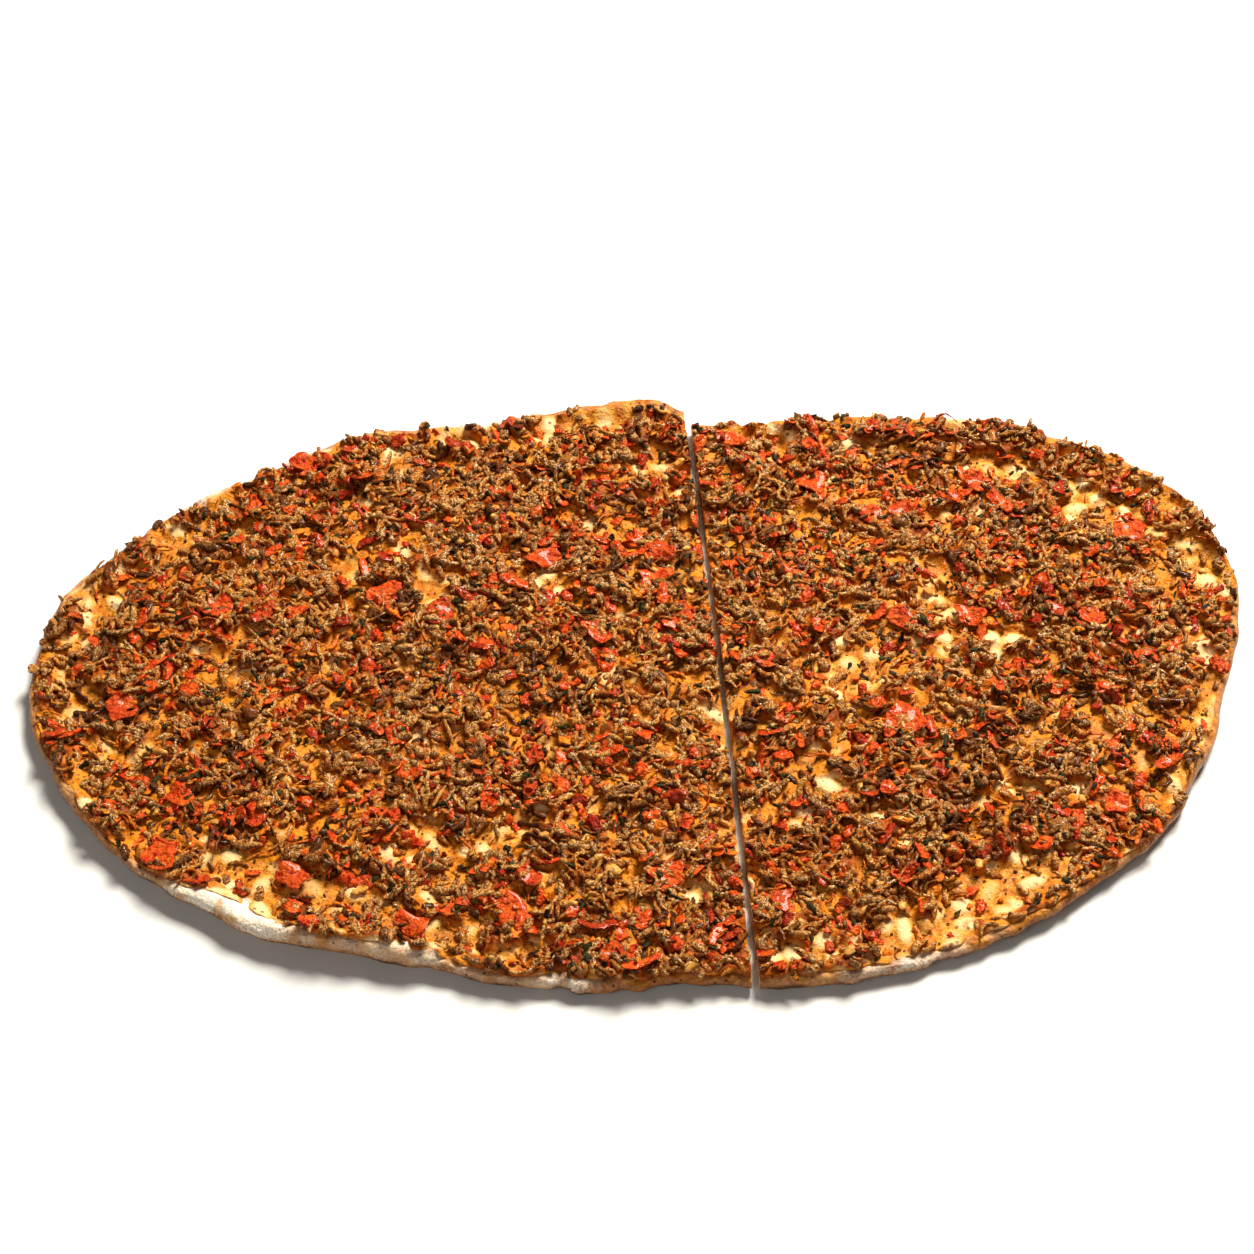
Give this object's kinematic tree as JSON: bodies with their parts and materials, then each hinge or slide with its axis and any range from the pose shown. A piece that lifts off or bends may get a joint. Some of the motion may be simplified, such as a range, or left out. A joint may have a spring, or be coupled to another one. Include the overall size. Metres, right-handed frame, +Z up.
{
  "type": "lahmacun",
  "caption": "Thin oval flatbread baked under a layer of spiced minced meat and red pepper, cut once across into two halves that lie as one.",
  "frame": {"origin": "under the middle of the oval, on the surface that the bread lies on", "axes": "+X along the oval, +Y across it towards the raised corner beside the cut, +Z up"},
  "size_m": [0.3743, 0.2209, 0.0095],
  "materials": {
    "baked_dough": "baked, oily and blistered, dusted with flour at the rim",
    "cooked_meat": "crumbly and glossy with fat",
    "red_pepper": "soft, wet skin"
  },
  "bodies": {
    "root": {"dough_left": "baked_dough", "dough_right": "baked_dough", "meat_left": "cooked_meat", "meat_right": "cooked_meat", "pepper_01": "red_pepper", "pepper_02": "red_pepper", "pepper_03": "red_pepper", "pepper_04": "red_pepper", "pepper_05": "red_pepper", "pepper_06": "red_pepper", "pepper_07": "red_pepper", "pepper_08": "red_pepper", "pepper_09": "red_pepper", "pepper_10": "red_pepper", "pepper_11": "red_pepper", "pepper_12": "red_pepper", "pepper_13": "red_pepper", "pepper_14": "red_pepper", "pepper_15": "red_pepper", "pepper_16": "red_pepper", "pepper_17": "red_pepper", "pepper_18": "red_pepper", "pepper_19": "red_pepper", "pepper_20": "red_pepper", "pepper_21": "red_pepper", "pepper_22": "red_pepper", "pepper_23": "red_pepper", "pepper_24": "red_pepper", "pepper_25": "red_pepper", "pepper_26": "red_pepper", "pepper_27": "red_pepper", "pepper_28": "red_pepper", "pepper_29": "red_pepper", "pepper_30": "red_pepper", "pepper_31": "red_pepper", "pepper_32": "red_pepper", "pepper_33": "red_pepper", "pepper_34": "red_pepper", "pepper_35": "red_pepper", "pepper_36": "red_pepper", "pepper_37": "red_pepper", "pepper_38": "red_pepper"}
  },
  "joints": []
}
